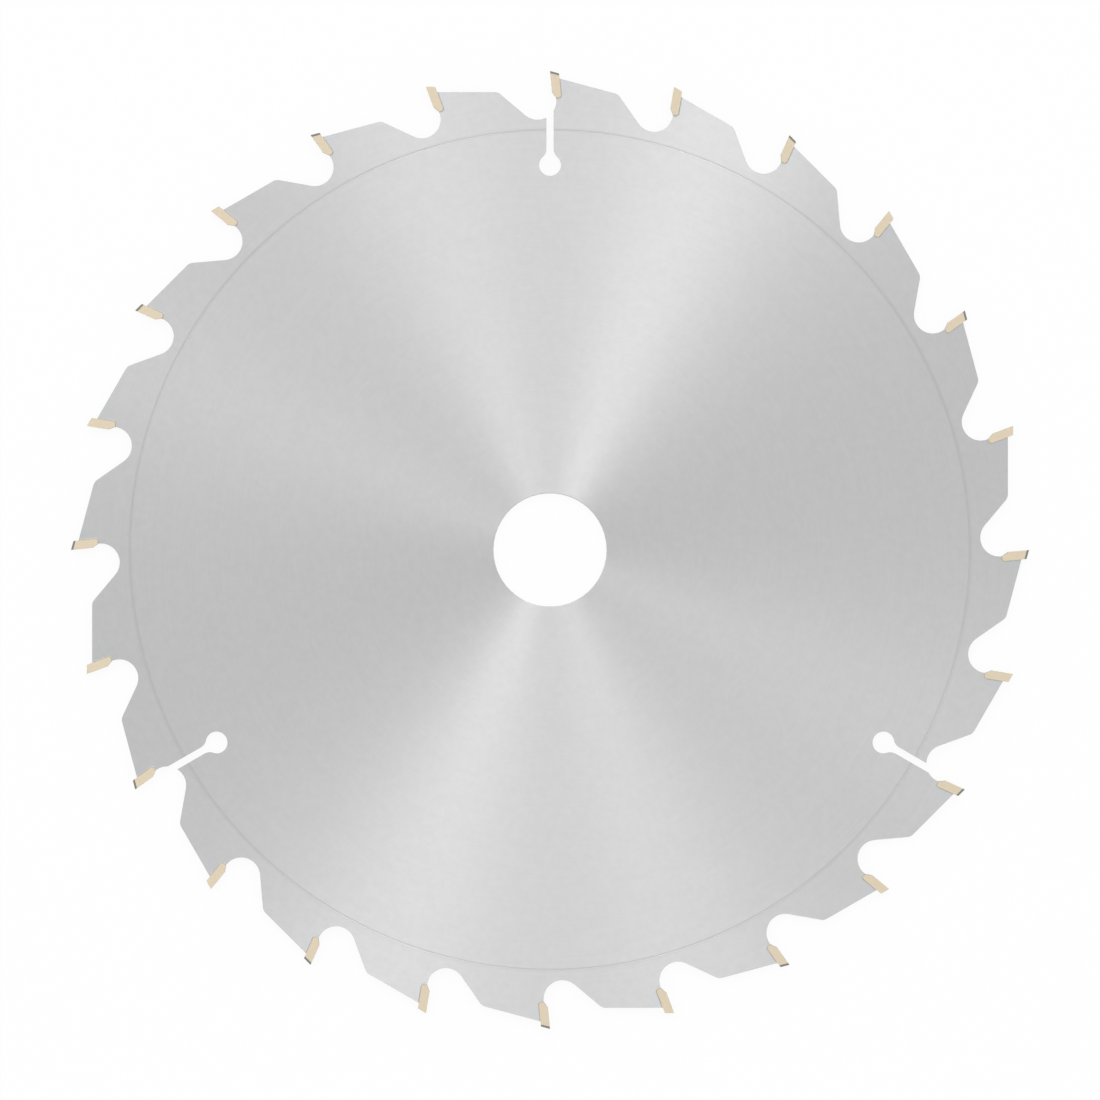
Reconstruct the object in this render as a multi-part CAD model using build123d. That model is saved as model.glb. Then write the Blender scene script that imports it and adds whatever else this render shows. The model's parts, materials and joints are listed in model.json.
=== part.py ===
from build123d import *
import os
from math import cos, radians, sin, sqrt, tan

# Circular saw blade for wood: a steel plate whose teeth carry brazed carbide tips.
# Lengths are in millimetres and angles in degrees.
# The arbor axis is +Z and the plate's middle plane is z = 0. The first tooth is on +Y.
# Seen from +Z the teeth point anticlockwise and are numbered clockwise.

# Blade as it is sold: cutting circle, bore, plate and cut width
cutting_diameter = 254.0
bore_diameter = 30.0
plate_thickness = 1.8
kerf = 2.8
tooth_count = 24

# Tooth outline in the plate
gullet_depth = 13.0
gullet_radius = 5.0
flank_angle = 40.0
shoulder_corner_radius = 2.5
shoulder_drop = 1.4

# Grinding angles of the tips
hook_angle = 5.5
top_clearance_angle = 15.0
top_bevel_angle = 15.0
radial_clearance_angle = 0.75
tangential_clearance_angle = 2.0

# Carbide tip blank, measured along and square to its cutting face
tip_length = 7.4
tip_thickness = 2.3
toe_chamfer_length = 1.7
toe_chamfer_depth = 0.95
heel_chamfer = 0.4

# Silver solder between a tip and its seat, and the small fillet that it leaves on both faces.
# The climb is a share of the tip's overhang there.
braze_thickness = 0.1
braze_fillet_reach = 0.3
braze_fillet_climb = 0.75

# Expansion slots, each ending in a round stress relief hole
slot_count = 3
slot_width = 1.9
relief_hole_diameter = 5.8
relief_hole_inset = 12.0
slot_blend_radius = 2.9

# Turned ring line on both faces, and the break on the bore's edges
ring_line_inset = 2.8
ring_line_width = 0.5
ring_line_depth = 0.08
bore_chamfer = 0.2

# Points of the outline that lie this close together count as one
same_place = 0.001

# Radii, widths and slopes that follow from the sizes above
cutting_radius = cutting_diameter / 2
bore_radius = bore_diameter / 2
root_radius = cutting_radius - gullet_depth
relief_hole_distance = root_radius - relief_hole_inset
ring_line_radius = root_radius - ring_line_inset
tooth_pitch = 360 / tooth_count
half_plate = plate_thickness / 2
half_kerf = kerf / 2
top_slope = tan(radians(hook_angle + top_clearance_angle))
bevel_slope = tan(radians(top_bevel_angle))
radial_slope = tan(radians(radial_clearance_angle))
tangential_slope = tan(radians(tangential_clearance_angle))

# The seat's wall stands behind the tip and its floor lies under it, a solder gap away.
# The seat is rounded where the tip's heel is chamfered, so more solder gathers in that corner.
seat_wall = tip_thickness + braze_thickness
seat_floor = -(tip_length + braze_thickness)
seat_radius = heel_chamfer + braze_thickness
shoulder_step = shoulder_drop / cos(radians(hook_angle + top_clearance_angle))
tip_foot_half_width = half_kerf - tip_thickness * tangential_slope - tip_length * radial_slope
braze_fillet_height = braze_fillet_climb * (tip_foot_half_width - half_plate)

# A tip is drawn in its own frame: the origin is its cutting corner, x runs back into the tooth,
# y runs outwards along the cutting face and z is the blade's own.
tip_frame = Pos(0, cutting_radius) * Rot(0, 0, hook_angle)


def in_blade_frame(point):
    """A point of the tip frame as the blade's frame has it on the first tooth."""
    return (tip_frame * Pos(*point)).position


def on_tooth(point, number):
    """A point of the first tooth, turned to the same place on another tooth."""
    return Vector(point).rotate(Axis.Z, -number * tooth_pitch)


def gullet_centre():
    """Centre of the gullet's arc in the tip frame.

    The arc touches the root circle, and the line along the tip's toe and its cutting face.
    """
    ahead = toe_chamfer_depth - gullet_radius
    side = ahead + cutting_radius * sin(radians(hook_angle))
    rise = sqrt((root_radius + gullet_radius) ** 2 - side**2)
    return ahead, rise - cutting_radius * cos(radians(hook_angle))


def seat_front():
    """The plate's edge in front of the seat, from the end of the gullet's arc to the seat's floor.

    Where the arc's centre is lower than the floor a straight edge joins the two.
    """
    ahead, height = gullet_centre()
    arc_end = min(height, seat_floor)
    front = ahead + sqrt(gullet_radius**2 - (height - arc_end) ** 2)
    levels = [arc_end, seat_floor] if arc_end < seat_floor else [seat_floor]
    return [in_blade_frame((front, level)) for level in levels]


def tooth_back():
    """The plate's edge behind the seat: heel, top of the seat, shoulder corner, end of the flank."""
    heel = in_blade_frame((seat_wall, seat_floor))
    seat_top = in_blade_frame((seat_wall, -seat_wall * top_slope - shoulder_step))
    shoulder_way = Vector(1, 0).rotate(Axis.Z, -top_clearance_angle)
    flank_way = shoulder_way.rotate(Axis.Z, -flank_angle)
    next_gullet = on_tooth(in_blade_frame(gullet_centre()), 1)
    flank_end = next_gullet + flank_way.rotate(Axis.Z, -90) * gullet_radius
    to_end = flank_end - seat_top
    shoulder_length = to_end.cross(flank_way).Z / shoulder_way.cross(flank_way).Z
    return [heel, seat_top, seat_top + shoulder_way * shoulder_length, flank_end]


def round_off(outline, corner, radius):
    """The outline with this corner rounded on every tooth."""
    alike = outline.vertices().filter_by(lambda v: abs(Vector(v).length - corner.length) < same_place)
    return fillet(alike, radius)


def plate_outline():
    """The plate's edge: gullet, seat, shoulder and flank, once for each tooth."""
    front = seat_front()
    heel, seat_top, corner, flank_end = tooth_back()
    gullet_bottom = in_blade_frame(gullet_centre()).normalized() * root_radius
    edges = []
    for number in range(tooth_count):
        way = [on_tooth(point, number) for point in (*front, heel, seat_top, corner, flank_end)]
        bottom = on_tooth(gullet_bottom, number + 1)
        edges.append(Polyline(*way))
        edges.append(ThreePointArc(way[-1], bottom, on_tooth(front[0], number + 1)))
    outline = make_face(Curve() + edges)
    outline = round_off(outline, corner, shoulder_corner_radius)
    return round_off(outline, heel, seat_radius)


def expansion_slot():
    """A slot from the gullet down to its relief hole, blended where the two meet."""
    length = root_radius + gullet_radius - relief_hole_distance
    channel = Pos(0, relief_hole_distance + length / 2) * Rectangle(slot_width, length)
    slot = channel + Pos(0, relief_hole_distance) * Circle(relief_hole_diameter / 2)
    on_walls = slot.vertices().filter_by(lambda v: abs(abs(v.X) - slot_width / 2) < same_place)
    return fillet(on_walls.sort_by(Axis.Y)[:2], slot_blend_radius)


def ring_line(side):
    """The shallow turned groove on the upper (1) or lower (-1) face of the plate."""
    face = side * half_plate
    section = Polyline(
        (ring_line_radius - ring_line_width / 2, 0, face),
        (ring_line_radius, 0, face - side * ring_line_depth),
        (ring_line_radius + ring_line_width / 2, 0, face),
        close=True,
    )
    return revolve(make_face(section), Axis.Z)


def blade_plate():
    """The steel plate, with its bore, gullets, tip seats, expansion slots and ring lines."""
    profile = plate_outline() - Circle(bore_radius)
    for number in range(slot_count):
        tooth = round(number * tooth_count / slot_count)
        profile -= Rot(0, 0, -tooth * tooth_pitch) * expansion_slot()
    plate = extrude(profile, half_plate, both=True)
    circles = plate.edges().filter_by(GeomType.CIRCLE)
    plate = chamfer(circles.filter_by(lambda e: abs(e.radius - bore_radius) < same_place), bore_chamfer)
    return plate - ring_line(1) - ring_line(-1)


def tip_section():
    """Side view of a tip blank in the tip frame: cutting face, back, foot and chamfered toe."""
    outline = Polyline(
        (0, 0),
        (tip_thickness, -tip_thickness * top_slope),
        (tip_thickness, -tip_length),
        (toe_chamfer_depth, -tip_length),
        (0, toe_chamfer_length - tip_length),
        close=True,
    )
    section = make_face(outline)
    heel = section.vertices().sort_by_distance((tip_thickness, -tip_length))[0]
    return chamfer(heel, heel_chamfer)


def side_plane(side):
    """The ground flank of a tip, which narrows towards its back and towards the bore."""
    lean = (tangential_slope, -radial_slope, side)
    return Plane((0, 0, side * half_kerf), z_dir=lean)


def top_plane(high_side):
    """The ground top of a tip, which falls backwards and away from its high side."""
    lean = (top_slope, 1, -high_side * bevel_slope)
    return Plane((0, 0, high_side * half_kerf), z_dir=lean)


def carbide_tip(high_side):
    """A ground tip in the tip frame, with its high corner on the +Z (1) or the -Z (-1) side."""
    tip = extrude(tip_section(), half_kerf, both=True)
    for plane in (side_plane(1), side_plane(-1), top_plane(high_side)):
        tip = split(tip, bisect_by=plane, keep=Keep.BOTTOM)
    return tip


def tip_joint_line(height):
    """The line along a tip's foot, heel and back where the solder meets it, at a height in z."""
    return [
        (toe_chamfer_depth, -tip_length, height),
        (tip_thickness - heel_chamfer, -tip_length, height),
        (tip_thickness, heel_chamfer - tip_length, height),
        (tip_thickness, 0, height),
    ]


def braze_layer():
    """The solder that fills the gap between a tip and its seat, flush with the plate's faces."""
    outline = Polyline(
        *tip_joint_line(0),
        (seat_wall, 0, 0),
        (seat_wall, seat_floor, 0),
        (toe_chamfer_depth, seat_floor, 0),
        close=True,
    )
    section = make_face(outline)
    seat_corner = section.vertices().sort_by_distance((seat_wall, seat_floor))[0]
    return extrude(fillet(seat_corner, seat_radius), half_plate, both=True)


def braze_fillet(side):
    """The small fillet of solder between a tip's overhang and one face of the plate."""
    face = side * half_plate
    joint = tip_joint_line(face)
    root = Vector(joint[0])
    edge = root - Vector(0, braze_fillet_reach)
    crest = root + Vector(0, 0, side * braze_fillet_height)
    section = make_face(Polyline(root, edge, crest, close=True))
    return sweep(section, path=Polyline(*joint), transition=Transition.RIGHT)


def braze_seam():
    """All the solder of one tip, trimmed flush with the shoulder behind it."""
    solder = braze_layer() + braze_fillet(1) + braze_fillet(-1)
    shoulder = Plane((0, -shoulder_step, 0), z_dir=(top_slope, 1, 0))
    return split(solder, bisect_by=shoulder, keep=Keep.BOTTOM)


def at_tooth(piece, number):
    """A piece drawn in the tip frame, placed on its tooth."""
    return Rot(0, 0, -number * tooth_pitch) * tip_frame * piece


os.makedirs("parts", exist_ok=True)
export_step(blade_plate(), "parts/blade_plate.step")
alternate_tips = (carbide_tip(-1), carbide_tip(1))
solder_seam = braze_seam()
for number in range(tooth_count):
    label = f"{number + 1:02d}"
    export_step(at_tooth(alternate_tips[number % 2], number), f"parts/carbide_tip_{label}.step")
    export_step(at_tooth(solder_seam, number), f"parts/braze_seam_{label}.step")
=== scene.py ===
"""Circular saw blade for wood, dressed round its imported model.

The blade is a ground steel plate with 24 brazed carbide tips, laid flat on a white ground and seen
from straight above. Everything is in metres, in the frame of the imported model: the arbor axis is
+Z, the plate's middle plane is z = 0, and the first tooth is on +Y. Teeth are counted clockwise.
"""

import json
import logging
import math
from collections.abc import Iterable
from dataclasses import dataclass, field
from enum import Enum

import bpy
from mathutils import Matrix

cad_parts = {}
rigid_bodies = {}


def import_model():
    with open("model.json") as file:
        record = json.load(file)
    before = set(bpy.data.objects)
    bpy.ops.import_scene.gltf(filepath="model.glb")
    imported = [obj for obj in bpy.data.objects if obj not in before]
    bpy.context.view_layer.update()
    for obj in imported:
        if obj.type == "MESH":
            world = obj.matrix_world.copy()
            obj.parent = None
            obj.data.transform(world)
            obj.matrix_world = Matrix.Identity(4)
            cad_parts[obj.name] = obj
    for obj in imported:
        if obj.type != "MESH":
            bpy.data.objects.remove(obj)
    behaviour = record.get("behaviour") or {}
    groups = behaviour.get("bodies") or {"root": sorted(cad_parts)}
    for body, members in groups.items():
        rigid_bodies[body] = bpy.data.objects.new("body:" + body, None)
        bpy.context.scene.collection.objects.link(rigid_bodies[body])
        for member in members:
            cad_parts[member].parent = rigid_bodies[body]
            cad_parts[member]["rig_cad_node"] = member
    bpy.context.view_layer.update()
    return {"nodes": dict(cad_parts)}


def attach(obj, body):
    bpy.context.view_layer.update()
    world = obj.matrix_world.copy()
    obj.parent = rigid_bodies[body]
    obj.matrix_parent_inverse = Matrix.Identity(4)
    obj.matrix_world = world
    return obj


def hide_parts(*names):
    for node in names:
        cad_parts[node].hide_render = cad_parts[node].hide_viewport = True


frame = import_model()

MM = 0.001
BODY = "root"
log = logging.getLogger("saw_blade")

# Points this close together count as one.
SAME_PLACE = 0.0005 * MM
# Faces that turn from one to the next by this many degrees or more meet in a sharp edge.
SHARP_FROM = 30.0
# A broken edge is rounded in this many steps.
BREAK_STEPS = 2

# The sRGB curve is straight up to its foot's top, and an offset power from there.
FULL_LEVEL = 255
FOOT_TOP = 0.04045
FOOT_SLOPE = 12.92
CURVE_OFFSET = 0.055
CURVE_POWER = 2.4

Socket = bpy.types.NodeSocket
SOFT_RAMP = {"interpolation_type": "SMOOTHSTEP"}
COLOUR_MIX = {"data_type": "RGBA"}
NUMBER_MIX = {"data_type": "FLOAT"}
# A Mix node has its ends and its result once for each kind, under one name, so they go by number.
COLOUR_START, COLOUR_END, COLOUR_RESULT = 6, 7, 2
NUMBER_START, NUMBER_END = 2, 3

# A noise is 0.5 on average. Most of it lies in the first range and nearly all of it in the second.
MOST_OF_NOISE = (0.3, 0.7)
NEARLY_ALL_OF_NOISE = (0.2, 0.8)
# The coordinates that a noise reads are already counted in grains.
GRAINS_PER_UNIT = 1.0
# A glow of this strength shows as plain white.
WHITE_STRENGTH = 1.0
UP = (0.0, 0.0, 1.0)


class Lay(Enum):
    """Which way the marks of a wheel run on a ground face."""

    CONCENTRIC = "round the arbor"
    RADIAL = "out from the arbor"


def linear_colour(code: str) -> tuple[float, float, float, float]:
    """Turn an sRGB hex colour into the linear colour that a shader takes.

    Args:
        code: The colour, such as "#C0C0C0".

    Returns:
        Red, green, blue and a full alpha, all linear.
    """
    levels = [int(code[place : place + 2], 16) / FULL_LEVEL for place in (1, 3, 5)]
    red, green, blue = (
        level / FOOT_SLOPE
        if level <= FOOT_TOP
        else ((level + CURVE_OFFSET) / (1 + CURVE_OFFSET)) ** CURVE_POWER
        for level in levels
    )
    return red, green, blue, 1.0


class NodeSheet:
    """The node tree of a material or a world, under construction."""

    def __init__(self, owner: bpy.types.Material | bpy.types.World) -> None:
        """Start an empty tree.

        Args:
            owner: The material or world that the tree belongs to.
        """
        owner.use_nodes = True
        self.tree = owner.node_tree
        self.tree.nodes.clear()

    def add(
        self,
        kind: str,
        settings: dict[str, object] | None = None,
        inputs: dict[str | int, object] | None = None,
        output: str | int = 0,
    ) -> Socket | None:
        """Add a node, set its properties, and fill or link its inputs.

        Args:
            kind: The node's type name.
            settings: Property values by name.
            inputs: For each input, by name or number, a value, a hex colour or the output to link.
            output: The name or number of the output that is wanted.

        Returns:
            That output, or None for a node that has no outputs.
        """
        node = self.tree.nodes.new(kind)
        for name, value in (settings or {}).items():
            setattr(node, name, value)
        for name, value in (inputs or {}).items():
            if isinstance(value, Socket):
                self.tree.links.new(value, node.inputs[name])
            else:
                plain = linear_colour(value) if isinstance(value, str) else value
                node.inputs[name].default_value = plain
        return node.outputs[output] if node.outputs else None

    def seen_directly(self) -> Socket:
        """Tell rays from the camera, from gloss and through clear things from the rest.

        Returns:
            1 for those rays, 0 for the others.
        """
        larger = {"operation": "MAXIMUM"}
        camera = self.add("ShaderNodeLightPath", output="Is Camera Ray")
        gloss = self.add("ShaderNodeLightPath", output="Is Glossy Ray")
        clear = self.add("ShaderNodeLightPath", output="Is Transmission Ray")
        either = self.add("ShaderNodeMath", larger, {0: camera, 1: gloss})
        return self.add("ShaderNodeMath", larger, {0: either, 1: clear})


class FinishSheet(NodeSheet):
    """A procedural material, with the places and patterns that the blade's finishes share."""

    def __init__(self, name: str) -> None:
        """Start the material with the coordinates that its patterns read.

        Args:
            name: The material's name.
        """
        self.material = bpy.data.materials.new(name)
        super().__init__(self.material)
        self.place = self.add("ShaderNodeTexCoord", output="Object")
        self.normal = self.add("ShaderNodeTexCoord", output="Normal")
        self.x = self.add("ShaderNodeSeparateXYZ", None, {0: self.place}, "X")
        self.y = self.add("ShaderNodeSeparateXYZ", None, {0: self.place}, "Y")
        flat = self.add("ShaderNodeCombineXYZ", None, {"X": self.x, "Y": self.y})
        self.radius = self.add("ShaderNodeVectorMath", {"operation": "LENGTH"}, {0: flat}, "Value")
        self.outward = self.add("ShaderNodeVectorMath", {"operation": "NORMALIZE"}, {0: flat})
        upright = self.add("ShaderNodeSeparateXYZ", None, {0: self.normal}, "Z")
        # 1 where the surface lies flat on either side of the blade, 0 on its edges.
        self.flatness = self.add("ShaderNodeMath", {"operation": "ABSOLUTE"}, {0: upright})

    def shaded(
        self, pattern: Socket, start: float, end: float, first: str | Socket, last: str | Socket
    ) -> Socket:
        """Go softly from one colour, value or direction to another as a pattern crosses a range.

        Args:
            pattern: The value that drives the change.
            start: The pattern's value up to which the first one stays.
            end: The pattern's value from which the last one stays.
            first: A hex colour, or the output that gives the colour, value or direction.
            last: The same for the other end.

        Returns:
            The mixed colour, value or direction.
        """
        limits = {"Value": pattern, "From Min": start, "From Max": end}
        share = self.add("ShaderNodeMapRange", SOFT_RAMP, limits)
        ends = {"Factor": share, COLOUR_START: first, COLOUR_END: last}
        return self.add("ShaderNodeMix", COLOUR_MIX, ends, COLOUR_RESULT)

    def swinging(self, pattern: Socket, middle: float, swing: float) -> Socket:
        """Let a value fall a little where a noise pattern is high, and rise where it is low.

        Args:
            pattern: The noise, 0.5 on average.
            middle: The value on average.
            swing: How far the value goes either way.

        Returns:
            The value.
        """
        low, high = NEARLY_ALL_OF_NOISE
        limits = {"Value": pattern, "From Min": low, "From Max": high}
        ends = {"To Min": middle + swing, "To Max": middle - swing}
        return self.add("ShaderNodeMapRange", None, {**limits, **ends})

    def wheel_marks(self, lay: Lay, spacing: float, run: float, around: float) -> Socket:
        """Draw the marks of a grinding wheel, as a noise that is stretched along their lay.

        Args:
            lay: Which way the marks run.
            spacing: Distance from mark to mark, in metres.
            run: Length of a mark, in metres.
            around: Radius at which lengths round the arbor are true, in metres.

        Returns:
            A value, 0.5 on average.
        """
        turning, outgoing = (run, spacing) if lay is Lay.CONCENTRIC else (spacing, run)
        rise = self.add("ShaderNodeMath", {"operation": "DIVIDE"}, {0: self.radius, 1: outgoing})
        lift = self.add("ShaderNodeCombineXYZ", None, {"Z": rise})
        turns = around / turning
        steps = {0: self.outward, 1: (turns, turns, 0.0), 2: lift}
        wound = self.add("ShaderNodeVectorMath", {"operation": "MULTIPLY_ADD"}, steps)
        return self.add("ShaderNodeTexNoise", None, {"Vector": wound, "Scale": GRAINS_PER_UNIT})

    def grain(self, across: float, upwards: float) -> Socket:
        """Draw a noise with one grain size across the blade and another up its thickness.

        Args:
            across: Grain size in x and y, in metres.
            upwards: Grain size in z, in metres.

        Returns:
            A value, 0.5 on average.
        """
        scale = (1 / across, 1 / across, 1 / upwards)
        sized = self.add("ShaderNodeMapping", None, {"Vector": self.place, "Scale": scale})
        return self.add("ShaderNodeTexNoise", None, {"Vector": sized, "Scale": GRAINS_PER_UNIT})

    def close(self, **principled: object) -> bpy.types.Material:
        """End the material with one Principled shader.

        Args:
            **principled: Values, colours or outputs by input name, with _ for each space.

        Returns:
            The finished material.
        """
        inputs = {name.replace("_", " "): value for name, value in principled.items()}
        surface = self.add("ShaderNodeBsdfPrincipled", None, inputs)
        self.add("ShaderNodeOutputMaterial", None, {"Surface": surface})
        return self.material


@dataclass(frozen=True)
class ToothRing:
    """How the teeth stand: the first on +Y, the rest clockwise, each leaning forward by its hook.

    The hook angle is in degrees.
    """

    count: int = 24
    cutting_radius: float = 127.0 * MM
    hook_degrees: float = 5.5

    def tip_frame(self, number: int) -> Matrix:
        """Place a tooth's own frame in the blade's.

        Args:
            number: The tooth's number, from 1.

        Returns:
            The frame, with its origin at the cutting corner, x back into the tooth and y outwards.
        """
        turn = Matrix.Rotation(-math.tau * (number - 1) / self.count, 4, "Z")
        hook = Matrix.Rotation(math.radians(self.hook_degrees), 4, "Z")
        return turn @ Matrix.Translation((0.0, self.cutting_radius, 0.0)) @ hook


@dataclass(frozen=True)
class GroundSpringSteel:
    """Hardened spring steel, laser cut, then ground on both faces while it turned.

    To the eye: a neutral satin silver, softly clouded, whose fine rings draw every lamp out into a
    fan across the blade. Its rim is dull and striped, its broken edges worn bare with a painted
    highlight, its bore reamed bright, and a faint cool bloom lies where the tips were brazed.
    """

    face_dark: str = "#C5C5C5"
    face_light: str = "#C9C9C9"
    deep_mark: str = "#CDCDCD"
    ring_line: str = "#C1C1C1"
    bloom: str = "#C4C6C9"
    rim_dark: str = "#8C8A86"
    rim_light: str = "#A9A7A3"
    # Bare steel on the broken edges, painted lighter than the faces: partly wear, partly a painted
    # highlight.
    worn_edge_and_glint: str = "#D3D2D0"
    bore_dark: str = "#B2B1AF"
    bore_light: str = "#C6C6C5"
    roughness: float = 0.445
    roughness_swing: float = 0.015
    anisotropy: float = 0.937

    # Marks on the faces. Their runs are true at the mean radius, and the deep marks are the highest
    # peaks of a noise.
    mean_radius: float = 75.0 * MM
    fine_spacing: float = 0.12 * MM
    fine_run: float = 12.0 * MM
    cloud_size: float = 1.6 * MM
    cloud_share: float = 0.45
    mark_range: tuple[float, float] = (0.32, 0.68)
    deep_spacing: float = 0.3 * MM
    deep_run: float = 35.0 * MM
    deep_range: tuple[float, float] = (0.68, 0.78)
    mark_depth: float = 0.003 * MM
    # Marks on the cut edges and in the bore, and the radii where the one gives way to the other.
    drag_spacing: float = 0.25 * MM
    drag_run: float = 4.0 * MM
    ream_spacing: float = 0.12 * MM
    ream_run: float = 10.0 * MM
    bore_zone: tuple[float, float] = (16.0 * MM, 17.0 * MM)
    # The ring line's dark band, which fades out on either side of its groove.
    ring_radius: float = 111.28 * MM
    ring_half_width: float = 0.8 * MM
    # The bloom round the middle of each tip's seat, which stands a little clockwise of its tooth's
    # cutting corner. The lag is in radians.
    teeth: ToothRing = ToothRing()
    seat_radius: float = 123.4 * MM
    seat_lag: float = 0.012
    bloom_reach: float = 6.0 * MM
    # How flat the surface lies, 0 on the cut edges and 1 on the faces, where each gives way.
    rim_to_face: tuple[float, float] = (0.5, 0.7)
    rim_to_break: tuple[float, float] = (0.2, 0.5)
    break_to_face: tuple[float, float] = (0.85, 0.93)
    rim_to_turned: tuple[float, float] = (0.8, 0.9)

    def marks(self, sheet: FinishSheet) -> Socket:
        """Draw the grinding marks, clouded where the wheel bit a little more or less.

        Real marks are some 0.03 mm apart, and are drawn 0.12 mm apart to show close up. From where
        the whole blade is seen they run together, and mostly the clouds show.

        Args:
            sheet: The material under construction.

        Returns:
            A value, 0.5 on average.
        """
        fine = sheet.wheel_marks(Lay.CONCENTRIC, self.fine_spacing, self.fine_run, self.mean_radius)
        clouds = sheet.grain(self.cloud_size, self.cloud_size)
        ends = {"Factor": self.cloud_share, NUMBER_START: fine, NUMBER_END: clouds}
        return sheet.add("ShaderNodeMix", NUMBER_MIX, ends)

    def face(self, sheet: FinishSheet, marks: Socket) -> Socket:
        """Colour the ground faces.

        Args:
            sheet: The material under construction.
            marks: The grinding marks.

        Returns:
            A colour.
        """
        plain = sheet.shaded(marks, *self.mark_range, self.face_dark, self.face_light)
        deep = sheet.wheel_marks(Lay.CONCENTRIC, self.deep_spacing, self.deep_run, self.mean_radius)
        marked = sheet.shaded(deep, *self.deep_range, plain, self.deep_mark)
        bloomed = sheet.shaded(self.to_seat(sheet), self.bloom_reach, 0.0, marked, self.bloom)
        subtract = {"operation": "SUBTRACT"}
        past = sheet.add("ShaderNodeMath", subtract, {0: sheet.radius, 1: self.ring_radius})
        off_ring = sheet.add("ShaderNodeMath", {"operation": "ABSOLUTE"}, {0: past})
        return sheet.shaded(off_ring, self.ring_half_width, 0.0, bloomed, self.ring_line)

    def to_seat(self, sheet: FinishSheet) -> Socket:
        """Measure how far a place is from the nearest tip's seat, where brazing warmed the steel.

        Args:
            sheet: The material under construction.

        Returns:
            The distance, in metres.
        """
        half_pitch = math.pi / self.teeth.count
        subtract = {"operation": "SUBTRACT"}
        turned = sheet.add("ShaderNodeMath", {"operation": "ARCTAN2"}, {0: sheet.x, 1: sheet.y})
        lagged = sheet.add("ShaderNodeMath", subtract, {0: turned, 1: self.seat_lag})
        folds = {0: lagged, 1: half_pitch, 2: -half_pitch}
        folded = sheet.add("ShaderNodeMath", {"operation": "WRAP"}, folds)
        along = sheet.add("ShaderNodeMath", {"operation": "MULTIPLY"}, {0: folded, 1: sheet.radius})
        outer = sheet.add("ShaderNodeMath", subtract, {0: sheet.radius, 1: self.seat_radius})
        offset = sheet.add("ShaderNodeCombineXYZ", None, {"X": along, "Y": outer})
        return sheet.add("ShaderNodeVectorMath", {"operation": "LENGTH"}, {0: offset}, "Value")

    def rim(self, sheet: FinishSheet, drag: Socket) -> Socket:
        """Colour the cut edges, and the bore's reamed wall apart.

        Args:
            sheet: The material under construction.
            drag: The drag lines of the laser.

        Returns:
            A colour.
        """
        cut = sheet.shaded(drag, *MOST_OF_NOISE, self.rim_dark, self.rim_light)
        ream = sheet.grain(self.ream_run, self.ream_spacing)
        bore = sheet.shaded(ream, *MOST_OF_NOISE, self.bore_dark, self.bore_light)
        return sheet.shaded(sheet.radius, *self.bore_zone, bore, cut)

    def across_marks(self, sheet: FinishSheet) -> Socket:
        """Point the way that the marks spread light: outwards, along the cut edges, up the bore.

        Args:
            sheet: The material under construction.

        Returns:
            A direction.
        """
        cross = {"operation": "CROSS_PRODUCT"}
        along_rim = sheet.add("ShaderNodeVectorMath", cross, {0: sheet.normal, 1: UP})
        up = sheet.add("ShaderNodeCombineXYZ", None, dict(zip("XYZ", UP)))
        on_edges = sheet.shaded(sheet.radius, *self.bore_zone, up, along_rim)
        return sheet.shaded(sheet.flatness, *self.rim_to_face, on_edges, sheet.outward)

    def facing(self, sheet: FinishSheet) -> Socket:
        """Point the way that the steel faces.

        The faces and their ring lines were turned, so there no part of it runs along the rings. The
        meshed one leans that way a little where a ring line runs out into a slot.

        Args:
            sheet: The material under construction.

        Returns:
            A direction.
        """
        lean_of = {0: sheet.normal, 1: sheet.outward}
        lean = sheet.add("ShaderNodeVectorMath", {"operation": "DOT_PRODUCT"}, lean_of, "Value")
        upright = sheet.add("ShaderNodeSeparateXYZ", None, {0: sheet.normal}, "Z")
        up = sheet.add("ShaderNodeCombineXYZ", None, {"Z": upright})
        steps = {0: sheet.outward, 1: lean, 2: up}
        turned = sheet.add("ShaderNodeVectorMath", {"operation": "MULTIPLY_ADD"}, steps)
        return sheet.shaded(sheet.flatness, *self.rim_to_turned, sheet.normal, turned)

    def make(self) -> bpy.types.Material:
        """Build the material.

        Returns:
            The material.
        """
        sheet = FinishSheet("ground_spring_steel")
        marks = self.marks(sheet)
        # A laser's drag lines are some 0.1 mm apart, and are drawn 0.25 mm apart to show.
        drag = sheet.grain(self.drag_spacing, self.drag_run)
        height = sheet.shaded(sheet.flatness, *self.rim_to_face, drag, marks)
        relief = {"Distance": self.mark_depth, "Height": height, "Normal": self.facing(sheet)}
        rim, face = self.rim(sheet, drag), self.face(sheet, marks)
        # The broken edges take the lighter worn colour, which is partly a painted highlight.
        edged = sheet.shaded(sheet.flatness, *self.rim_to_break, rim, self.worn_edge_and_glint)
        return sheet.close(
            Base_Color=sheet.shaded(sheet.flatness, *self.break_to_face, edged, face),
            Metallic=1.0,
            Roughness=sheet.swinging(marks, self.roughness, self.roughness_swing),
            Anisotropic=self.anisotropy,
            Tangent=self.across_marks(sheet),
            Normal=sheet.add("ShaderNodeBump", None, relief),
        )


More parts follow.
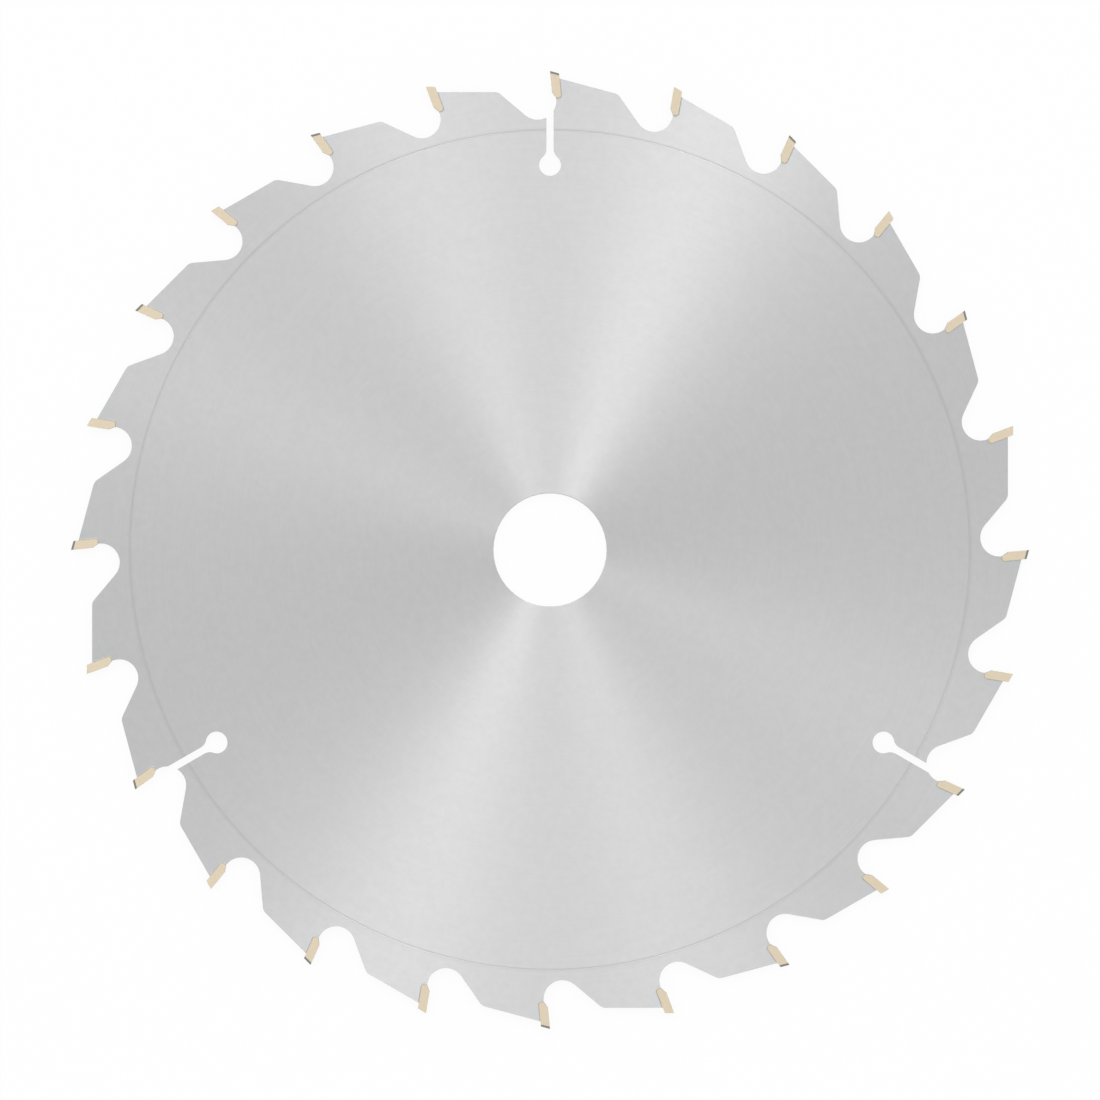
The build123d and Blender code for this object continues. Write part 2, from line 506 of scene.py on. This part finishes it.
@dataclass(frozen=True)
class GroundCarbide:
    """Cemented tungsten carbide, ground with a diamond cup wheel.

    To the eye: pale straw-coloured satin flanks, and fresh dark grey tops and cutting faces.
    """

    flank_dark: str = "#D4C8B2"
    flank_light: str = "#D6CAB5"
    fresh_dark: str = "#81817A"
    fresh_light: str = "#8A8A81"
    mark_spacing: float = 0.05 * MM
    mark_run: float = 1.2 * MM
    mark_depth: float = 0.002 * MM
    rim_radius: float = 123.0 * MM
    roughness: float = 0.64
    roughness_swing: float = 0.03
    # How flat the surface lies where the tops and cutting faces give way to the flanks.
    fresh_to_flank: tuple[float, float] = (0.6, 0.9)

    def make(self) -> bpy.types.Material:
        """Build the material.

        Returns:
            The material.
        """
        sheet = FinishSheet("diamond_ground_carbide")
        # Diamond grit's marks are some 0.01 mm apart, and are drawn 0.05 mm apart to show close up.
        marks = sheet.wheel_marks(Lay.RADIAL, self.mark_spacing, self.mark_run, self.rim_radius)
        flank = sheet.shaded(marks, *MOST_OF_NOISE, self.flank_dark, self.flank_light)
        fresh = sheet.shaded(marks, *MOST_OF_NOISE, self.fresh_dark, self.fresh_light)
        relief = {"Distance": self.mark_depth, "Height": marks}
        return sheet.close(
            Base_Color=sheet.shaded(sheet.flatness, *self.fresh_to_flank, fresh, flank),
            Metallic=1.0,
            Roughness=sheet.swinging(marks, self.roughness, self.roughness_swing),
            Normal=sheet.add("ShaderNodeBump", None, relief),
        )


@dataclass(frozen=True)
class SilverSolder:
    """Silver brazing alloy as it froze in the joint.

    To the eye: a soft grey line with a slightly lumpy skin, duller than the steel beside it.
    """

    dark: str = "#BDBBB4"
    light: str = "#CDCBC5"
    lump_size: float = 0.3 * MM
    lump_depth: float = 0.01 * MM
    roughness: float = 0.5
    roughness_swing: float = 0.06

    def make(self) -> bpy.types.Material:
        """Build the material.

        Returns:
            The material.
        """
        sheet = FinishSheet("silver_brazing_alloy")
        lumps = sheet.grain(self.lump_size, self.lump_size)
        relief = {"Distance": self.lump_depth, "Height": lumps}
        return sheet.close(
            Base_Color=sheet.shaded(lumps, *MOST_OF_NOISE, self.dark, self.light),
            Metallic=1.0,
            Roughness=sheet.swinging(lumps, self.roughness, self.roughness_swing),
            Normal=sheet.add("ShaderNodeBump", None, relief),
        )


def dress(piece: bpy.types.Object, material: bpy.types.Material) -> None:
    """Give a whole piece one material, and leave its mesh as it is.

    Args:
        piece: The piece.
        material: Its finish.
    """
    for place in piece.material_slots:
        place.link = "OBJECT"
        place.material = material
    log.info("%s: %s", piece.name, material.name)


def break_edges(piece: bpy.types.Object, width: float) -> None:
    """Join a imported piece's facets, and break its sharp edges.

    Args:
        piece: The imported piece.
        width: How far the break reaches from the edge, in metres.
    """
    weld = piece.modifiers.new("joined_facets", "WELD")
    weld.merge_threshold = SAME_PLACE
    bevel = piece.modifiers.new("broken_edges", "BEVEL")
    bevel.width = width
    bevel.segments = BREAK_STEPS
    bevel.limit_method = "ANGLE"
    bevel.angle_limit = math.radians(SHARP_FROM)


def select_alone(piece: bpy.types.Object) -> None:
    """Make one piece the active and only selected one.

    Args:
        piece: The piece.
    """
    bpy.ops.object.select_all(action="DESELECT")
    piece.select_set(True)
    bpy.context.view_layer.objects.active = piece


def select_points(piece: bpy.types.Object, wanted: Iterable[int]) -> None:
    """Go into edit mode with just some points of the active piece selected.

    Args:
        piece: The active piece, in object or edit mode.
        wanted: The numbers of the points.
    """
    bpy.ops.object.mode_set(mode="EDIT")
    bpy.ops.mesh.select_mode(type="VERT")
    bpy.ops.mesh.select_all(action="DESELECT")
    bpy.ops.object.mode_set(mode="OBJECT")
    for number in wanted:
        piece.data.vertices[number].select = True
    bpy.ops.object.mode_set(mode="EDIT")


@dataclass
class SteelPlate:
    """The blade's body: one sheet with its bore, gullets, seats, slots and ring lines."""

    node: str = "blade_plate"
    edge_break: float = 0.06 * MM
    finish: GroundSpringSteel = field(default_factory=GroundSpringSteel)

    def build(self) -> None:
        """Dress the plate."""
        plate = frame["nodes"][self.node]
        dress(plate, self.finish.make())
        break_edges(plate, self.edge_break)


@dataclass
class CarbideTips:
    """The ground tips, which do the cutting."""

    teeth: ToothRing = field(default_factory=ToothRing)
    edge_break: float = 0.015 * MM
    finish: GroundCarbide = field(default_factory=GroundCarbide)

    def build(self) -> None:
        """Dress every tip."""
        material = self.finish.make()
        for number in range(1, self.teeth.count + 1):
            tip = frame["nodes"][f"carbide_tip_{number:02d}"]
            dress(tip, material)
            break_edges(tip, self.edge_break)


@dataclass
class SolderSeams:
    """The solder under and behind each tip, with a hollow fillet on both faces of the plate.

    One packed seam is copied into its tip's own frame and its straight fillets are hollowed there.
    Every tooth gets a copy of the result, roughened in its own way. Angles are in degrees.
    """

    teeth: ToothRing = field(default_factory=ToothRing)
    finish: SilverSolder = field(default_factory=SilverSolder)
    slot: str = "silver_solder"
    plate_face: float = 0.9 * MM
    fillet_height: float = 0.242 * MM
    # The seam is cut into lengths of about a step, and its fillets at these shares of their height.
    fillet_levels: tuple[float, ...] = (0.22, 0.52)
    step: float = 0.35 * MM
    cut_tolerance: float = SAME_PLACE / 10
    flat_within: float = 1.0
    # How much of a face's normal points up or down where it belongs to a fillet's slope.
    slope_range: tuple[float, float] = (0.3, 0.98)
    hollow: float = 0.045 * MM
    outline_swing: float = 0.03 * MM
    skin_swing: float = 0.012 * MM
    smooth_up_to: float = 50.0

    def build(self) -> None:
        """Shape one seam, and put a copy on every tooth."""
        material = self.finish.make()
        model = self.copy_packed()
        self.cut_facets(model)
        self.hollow_fillets(model)
        for number in range(1, self.teeth.count + 1):
            self.place_on(number, model, material)
        select_alone(model)
        bpy.ops.object.delete()

    def copy_packed(self) -> bpy.types.Object:
        """Copy the first tooth's packed seam into its tip's frame, with its facets joined.

        Returns:
            The copy.
        """
        select_alone(frame["nodes"]["braze_seam_01"])
        bpy.ops.object.duplicate()
        model = bpy.context.object
        del model["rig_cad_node"]
        bpy.ops.object.parent_clear(type="CLEAR_KEEP_TRANSFORM")
        model.matrix_world = self.teeth.tip_frame(1).inverted()
        bpy.ops.object.transform_apply()
        bpy.ops.mesh.customdata_custom_splitnormals_clear()
        bpy.ops.object.mode_set(mode="EDIT")
        bpy.ops.mesh.select_all(action="SELECT")
        bpy.ops.mesh.remove_doubles(threshold=SAME_PLACE)
        bpy.ops.mesh.dissolve_limited(angle_limit=math.radians(self.flat_within))
        bpy.ops.object.mode_set(mode="OBJECT")
        return model

    def cut_facets(self, model: bpy.types.Object) -> None:
        """Cut the seam into short lengths, and its fillets into low, middle and high strips.

        Args:
            model: The seam in its tip's frame.
        """
        reach = [[point.co[axis] for point in model.data.vertices] for axis in (0, 1)]
        bpy.ops.object.mode_set(mode="EDIT")
        for axis, places in enumerate(reach):
            start, length = min(places), max(places) - min(places)
            strips = round(length / self.step)
            for number in range(1, strips):
                self.cut(axis, start + number * length / strips)
        for level in self.fillet_levels:
            self.cut(2, self.plate_face + level * self.fillet_height)
            self.cut(2, -self.plate_face - level * self.fillet_height)
        bpy.ops.object.mode_set(mode="OBJECT")

    def cut(self, axis: int, place: float) -> None:
        """Cut the whole mesh in edit mode with a plane square to an axis.

        Args:
            axis: 0 for x, 1 for y and 2 for z.
            place: Where the plane crosses the axis, in metres.
        """
        point, normal = [0.0, 0.0, 0.0], [0.0, 0.0, 0.0]
        point[axis], normal[axis] = place, 1.0
        bpy.ops.mesh.select_all(action="SELECT")
        bpy.ops.mesh.bisect(plane_co=point, plane_no=normal, threshold=self.cut_tolerance)

    def in_fillets(self, piece: bpy.types.Object) -> list[int]:
        """Find the points of a seam that lie between the plate's faces and the fillets' crests.

        Args:
            piece: The seam, with z as in the blade.

        Returns:
            The points' numbers.
        """
        low = self.plate_face + SAME_PLACE
        high = self.plate_face + self.fillet_height - SAME_PLACE
        return [point.index for point in piece.data.vertices if low < abs(point.co.z) < high]

    def hollow_fillets(self, model: bpy.types.Object) -> None:
        """Draw the middle of the fillets in, so that they curve from the plate up to the tip.

        Args:
            model: The seam in its tip's frame.
        """
        least, most = self.slope_range
        slopes = [face for face in model.data.polygons if least < abs(face.normal.z) < most]
        on_slopes = {number for face in slopes for number in face.vertices}
        select_points(model, on_slopes.intersection(self.in_fillets(model)))
        bpy.ops.transform.shrink_fatten(value=-self.hollow)
        bpy.ops.object.mode_set(mode="OBJECT")

    def place_on(self, number: int, model: bpy.types.Object, material: bpy.types.Material) -> None:
        """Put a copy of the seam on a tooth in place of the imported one.

        Args:
            number: The tooth's number, from 1.
            model: The seam in its tip's frame.
            material: The solder.
        """
        select_alone(model)
        bpy.ops.object.duplicate()
        seam = bpy.context.object
        seam.name = f"solder_seam_{number:02d}"
        self.roughen(seam, number)
        seam.matrix_world = self.teeth.tip_frame(number)
        bpy.ops.object.transform_apply()
        bpy.ops.object.shade_smooth_by_angle(angle=math.radians(self.smooth_up_to))
        dress(seam, material)
        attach(seam, BODY)
        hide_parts(f"braze_seam_{number:02d}")

    def roughen(self, seam: bpy.types.Object, number: int) -> None:
        """Make the fillets' outline on the plate wander, and their skin lumpy.

        Args:
            seam: The seam in its tip's frame, selected alone.
            number: The tooth's number, which seeds the wander.
        """
        flattened = (1.0, 1.0, 0.0)
        for face in (self.plate_face, -self.plate_face):
            points = seam.data.vertices
            select_points(seam, [p.index for p in points if abs(p.co.z - face) < SAME_PLACE])
            bpy.ops.transform.vertex_random(offset=self.outline_swing, seed=2 * number)
            bpy.ops.transform.resize(value=flattened, center_override=(0.0, 0.0, face))
            bpy.ops.object.mode_set(mode="OBJECT")
        select_points(seam, self.in_fillets(seam))
        bpy.ops.transform.vertex_random(offset=self.skin_swing, seed=2 * number + 1)
        bpy.ops.object.mode_set(mode="OBJECT")


@dataclass(frozen=True)
class StripLamp:
    """A long soft studio lamp that stands on edge and shines at the blade's middle.

    Its brightness is a multiple of white paper's. Its length runs up and down, so that it lights
    the rings of the grinding from low to high. Angles are in degrees, and lengths in metres.
    """

    name: str
    azimuth: float
    brightness: float
    off_axis: float = 35.0
    distance: float = 6.0
    width: float = 1.2
    length: float = 6.0

    def build(self) -> None:
        """Add the lamp."""
        lean, turn = math.radians(self.off_axis), math.radians(self.azimuth)
        reach = self.distance * math.sin(lean)
        location = (reach * math.cos(turn), reach * math.sin(turn), self.distance * math.cos(lean))
        rotation = (lean, 0.0, turn + math.pi / 2)
        bpy.ops.object.light_add(type="AREA", location=location, rotation=rotation)
        lamp = bpy.context.object
        lamp.name = self.name
        lamp.data.shape = "RECTANGLE"
        lamp.data.size = self.width
        lamp.data.size_y = self.length
        # A flat lamp as bright as white paper gives pi watts from each square metre.
        lamp.data.energy = self.brightness * math.pi * self.width * self.length
        log.info("%s: at %.0f degrees round the blade", self.name, self.azimuth)


@dataclass
class Studio:
    """The pale floor, the even white surroundings and the three strip lamps."""

    # The floor touches the lower tips. Its middle is off the arbor, because the seam between its
    # two triangles shows as a faint line on the blade's underside.
    floor_middle: tuple[float, float, float] = (0.0, 2.0, -1.4 * MM)
    floor_size: float = 16.0
    floor_paint: str = "#FAFAFA"
    floor_glow: float = 0.92
    # The horizon's white ends where a line of sight rises by this much of its length.
    sky_white: str = "#FFFFFF"
    horizon_white: str = "#E8E8E8"
    horizon_top: float = 0.6
    fill: float = 0.8
    lamps: tuple[StripLamp, ...] = (
        StripLamp("lamp_right_of_top", 68.4, 2.16),
        StripLamp("lamp_left_of_top", 108.5, 1.55),
        StripLamp("lamp_far_left", 155.5, 0.82),
    )

    def build(self) -> None:
        """Lay the floor and light it."""
        self.lay_floor()
        self.surround()
        for lamp in self.lamps:
            lamp.build()

    def lay_floor(self) -> None:
        """Lay a wide plain sheet of paper under the blade.

        The camera and gloss see it nearly as a white of its own, with a share left for the blade's
        shadow. From below it is clear, so that the blade's other side shows too.
        """
        bpy.ops.object.select_all(action="DESELECT")
        bpy.ops.mesh.primitive_plane_add(size=self.floor_size, location=self.floor_middle)
        floor = bpy.context.object
        floor.name = "studio_floor"
        bpy.ops.object.transform_apply()
        material = bpy.data.materials.new("white_paper")
        sheet = NodeSheet(material)
        paper = sheet.add("ShaderNodeBsdfDiffuse", None, {"Color": self.floor_paint})
        white = {"Color": self.sky_white, "Strength": WHITE_STRENGTH}
        glow = sheet.add("ShaderNodeEmission", None, white)
        shares = {0: sheet.seen_directly(), 1: self.floor_glow}
        share = sheet.add("ShaderNodeMath", {"operation": "MULTIPLY"}, shares)
        front = sheet.add("ShaderNodeMixShader", None, {0: share, 1: paper, 2: glow})
        behind = sheet.add("ShaderNodeNewGeometry", output="Backfacing")
        clear = sheet.add("ShaderNodeBsdfTransparent")
        both = sheet.add("ShaderNodeMixShader", None, {0: behind, 1: front, 2: clear})
        sheet.add("ShaderNodeOutputMaterial", None, {"Surface": both})
        floor.data.materials.append(material)
        log.info("studio_floor: %s", material.name)

    def surround(self) -> None:
        """Put white surroundings round the blade, greyer at the horizon, that fill its shadows."""
        world = bpy.data.worlds.new("white_surroundings")
        bpy.context.scene.world = world
        sheet = NodeSheet(world)
        way = sheet.add("ShaderNodeTexCoord", output="Generated")
        height = sheet.add("ShaderNodeSeparateXYZ", None, {0: way}, "Z")
        steep = sheet.add("ShaderNodeMath", {"operation": "ABSOLUTE"}, {0: height})
        limits = {"Value": steep, "From Max": self.horizon_top}
        rise = sheet.add("ShaderNodeMapRange", SOFT_RAMP, limits)
        ends = {"Factor": rise, COLOUR_START: self.horizon_white, COLOUR_END: self.sky_white}
        white = sheet.add("ShaderNodeMix", COLOUR_MIX, ends, COLOUR_RESULT)
        levels = {"Value": sheet.seen_directly(), "To Min": self.fill, "To Max": WHITE_STRENGTH}
        strength = sheet.add("ShaderNodeMapRange", None, levels)
        glow = sheet.add("ShaderNodeBackground", None, {"Color": white, "Strength": strength})
        sheet.add("ShaderNodeOutputWorld", None, {"Surface": glow})
        log.info("%s: fill %.2f", world.name, self.fill)


@dataclass
class OverheadCamera:
    """The camera straight above the blade, with +Y at the top of the picture.

    The blade's centre and the size of a pixel were measured in the photograph's 1100 x 1100 frame.
    """

    picture_pixels: int = 1100
    centre_pixel: tuple[float, float] = (549.517, 549.471)
    pixel_size: float = 0.26486 * MM
    distance: float = 2.5
    focus_height: float = 0.9 * MM
    film_width: float = 36.0

    def build(self) -> None:
        """Add the camera so that the blade falls on the same pixels as in the photograph."""
        half_view = self.picture_pixels * self.pixel_size / 2
        middle = (self.picture_pixels - 1) / 2
        right = (middle - self.centre_pixel[0]) * self.pixel_size
        up = (self.centre_pixel[1] - middle) * self.pixel_size
        location = (right, up, self.focus_height + self.distance)
        bpy.ops.object.camera_add(location=location, rotation=(0.0, 0.0, 0.0))
        camera = bpy.context.object
        camera.name = "overhead_camera"
        camera.data.sensor_width = self.film_width
        camera.data.lens = self.film_width / 2 * self.distance / half_view
        bpy.context.scene.camera = camera
        log.info("overhead_camera: %.0f mm lens", camera.data.lens)


def main() -> None:
    """Set up the camera and the studio, then dress the blade."""
    logging.basicConfig(level=logging.INFO, format="%(name)s: %(message)s")
    bpy.context.scene.view_settings.view_transform = "Standard"
    OverheadCamera().build()
    Studio().build()
    SteelPlate().build()
    CarbideTips().build()
    SolderSeams().build()


if __name__ == "__main__":
    main()
